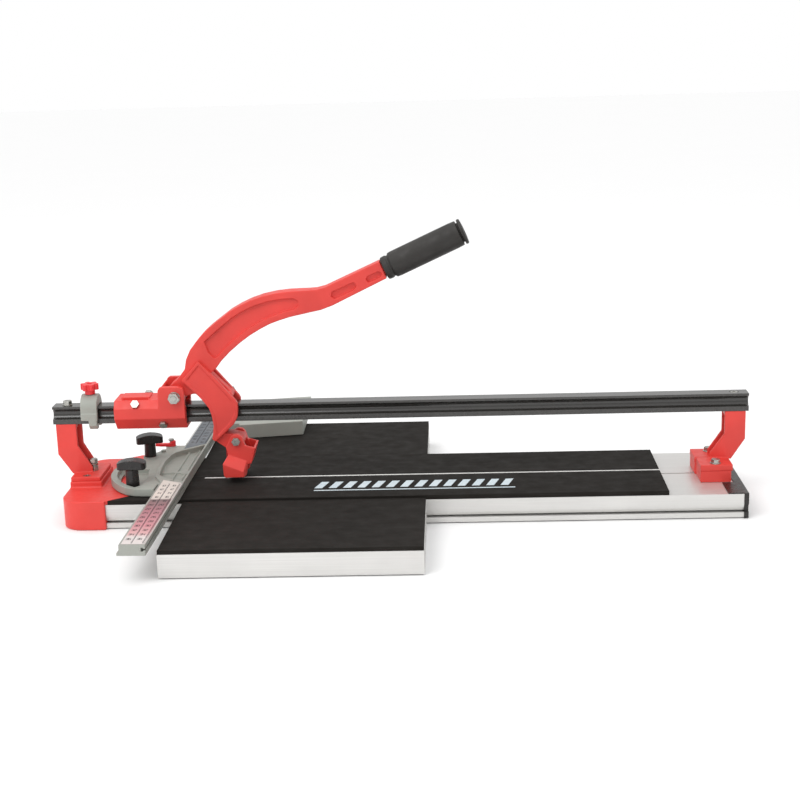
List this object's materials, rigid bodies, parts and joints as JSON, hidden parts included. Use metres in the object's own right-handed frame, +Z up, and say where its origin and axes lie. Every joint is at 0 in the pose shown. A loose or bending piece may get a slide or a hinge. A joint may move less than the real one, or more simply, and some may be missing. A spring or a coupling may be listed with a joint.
{
  "type": "tile cutter",
  "caption": "Manual rail tile cutter: hinged scoring lever on a sliding carriage, swinging measuring fence with side stop, rubber-topped base and sliding side wings.",
  "frame": {"origin": "on the table, under the middle of the guide rail and of the breaking ridge", "axes": "+X along the rail, away from the fence and towards the far post; +Y to the back, towards the rear ruler; +Z up"},
  "size_m": [1.18, 0.8446, 0.4866],
  "materials": {
    "aluminium_profile": "anodised satin, near white",
    "red_casting": "bright red powder coat, satin",
    "dark_red_part": "deep red, glossy",
    "grey_casting": "matte grey cast surface",
    "black_rail": "black anodised, satin",
    "rubber_pad": "matte with fine streaks",
    "rubber_foot": "matte",
    "white_print": "thin printed film",
    "scale_film": "printed measuring film",
    "black_plastic": "satin moulded plastic",
    "red_plastic": "satin moulded plastic",
    "grip_rubber": "matte, softly ribbed",
    "zinc": "zinc plated",
    "steel": "ground hard steel",
    "shoe_plastic": "sliding plastic"
  },
  "bodies": {
    "base": {"base_profile": "aluminium_profile", "breaking_ridge": "aluminium_profile", "pad_front": "rubber_pad", "pad_rear": "rubber_pad", "pad_print": "white_print", "base_head": "red_casting", "end_cap": "black_plastic", "base_foot_strips": "rubber_foot", "rail": "black_rail", "post_left": "red_casting", "post_right": "red_casting", "post_riser": "red_casting", "post_screws_left": "zinc", "post_bolts_right": "zinc", "levelling_bolt": "zinc", "rail_bolts": "zinc", "fence_pivot": "zinc"},
    "collar": {"stop_collar": "grey_casting"},
    "collar_knob": {"stop_knob": "red_plastic"},
    "carriage": {"carriage": "red_casting", "slide_shoes": "shoe_plastic", "gib_screws": "zinc", "hinge_bolt": "zinc", "hinge_nut": "zinc"},
    "lever": {"handle_arm": "red_casting", "yoke": "red_casting", "yoke_bolts": "zinc", "grip": "grip_rubber", "grip_cap": "grip_rubber", "wheel_holder": "dark_red_part", "wheel_axle": "zinc", "foot_bolt": "zinc"},
    "wheel": {"scoring_wheel": "steel"},
    "foot": {"breaker_foot": "red_casting"},
    "fence": {"protractor": "grey_casting", "ruler_front": "grey_casting", "ruler_rear": "grey_casting", "scale_front": "scale_film", "scale_rear": "scale_film", "ruler_joiners": "zinc", "ruler_screws": "zinc", "lock_screw": "zinc"},
    "clamp_front": {"clamp_knob_front": "black_plastic"},
    "clamp_rear": {"clamp_knob_rear": "black_plastic"},
    "fence_lock": {"lock_lever": "red_plastic"},
    "side_stop": {"side_stop": "grey_casting"},
    "stop_screw": {"side_stop_screw": "black_plastic"},
    "wing_front": {"wing_front": "aluminium_profile", "wing_front_pad": "rubber_pad", "wing_front_feet": "rubber_foot"},
    "wing_rear": {"wing_rear": "aluminium_profile", "wing_rear_pad": "rubber_pad", "wing_rear_feet": "rubber_foot"}
  },
  "joints": [
    {"name": "collar_slide", "type": "slide", "parent": "base", "child": "collar", "axis": [1, 0, 0], "range_m": [-0.01, 0.018]},
    {"name": "collar_knob_turn", "type": "hinge", "parent": "collar", "child": "collar_knob", "pos_m": [-0.5255, 0, 0.204], "axis": [0, 0, 1], "continuous": true},
    {"name": "carriage_slide", "type": "slide", "parent": "base", "child": "carriage", "axis": [1, 0, 0], "range_m": [-0.01, 0.747]},
    {"name": "lever_pivot", "type": "hinge", "parent": "carriage", "child": "lever", "pos_m": [-0.375, 0, 0.202], "axis": [0, -1, 0], "range_deg": [0, 10]},
    {"name": "wheel_spin", "type": "hinge", "parent": "lever", "child": "wheel", "pos_m": [-0.284, 0, 0.0609], "axis": [0, 1, 0], "continuous": true},
    {"name": "foot_pivot", "type": "hinge", "parent": "lever", "child": "foot", "pos_m": [-0.2764, 0, 0.1206], "axis": [0, -1, 0], "range_deg": [-8, 8]},
    {"name": "fence_swing", "type": "hinge", "parent": "base", "child": "fence", "pos_m": [-0.37, 0, 0.057], "axis": [0, 0, 1], "range_deg": [-4, 36]},
    {"name": "clamp_front_turn", "type": "hinge", "parent": "base", "child": "clamp_front", "pos_m": [-0.44849, -0.06823, 0.056], "axis": [0, 0, 1], "continuous": true},
    {"name": "clamp_rear_turn", "type": "hinge", "parent": "fence", "child": "clamp_rear", "pos_m": [-0.44816, 0.08866, 0.064], "axis": [0, 0, 1], "continuous": true},
    {"name": "fence_lock_turn", "type": "hinge", "parent": "fence", "child": "fence_lock", "pos_m": [-0.42002, 0.14308, 0.068], "axis": [0, 0, 1], "range_deg": [-50, 20]},
    {"name": "side_stop_slide", "type": "slide", "parent": "fence", "child": "side_stop", "axis": [0.0209, 0.9998, 0], "range_m": [-0.095, 0.09]},
    {"name": "stop_screw_turn", "type": "hinge", "parent": "side_stop", "child": "stop_screw", "pos_m": [-0.33423, 0.27531, 0.074], "axis": [0, 0, 1], "continuous": true},
    {"name": "wing_front_slide", "type": "slide", "parent": "base", "child": "wing_front", "axis": [1, 0, 0], "range_m": [0, 0.49]},
    {"name": "wing_rear_slide", "type": "slide", "parent": "base", "child": "wing_rear", "axis": [1, 0, 0], "range_m": [0, 0.49]}
  ]
}
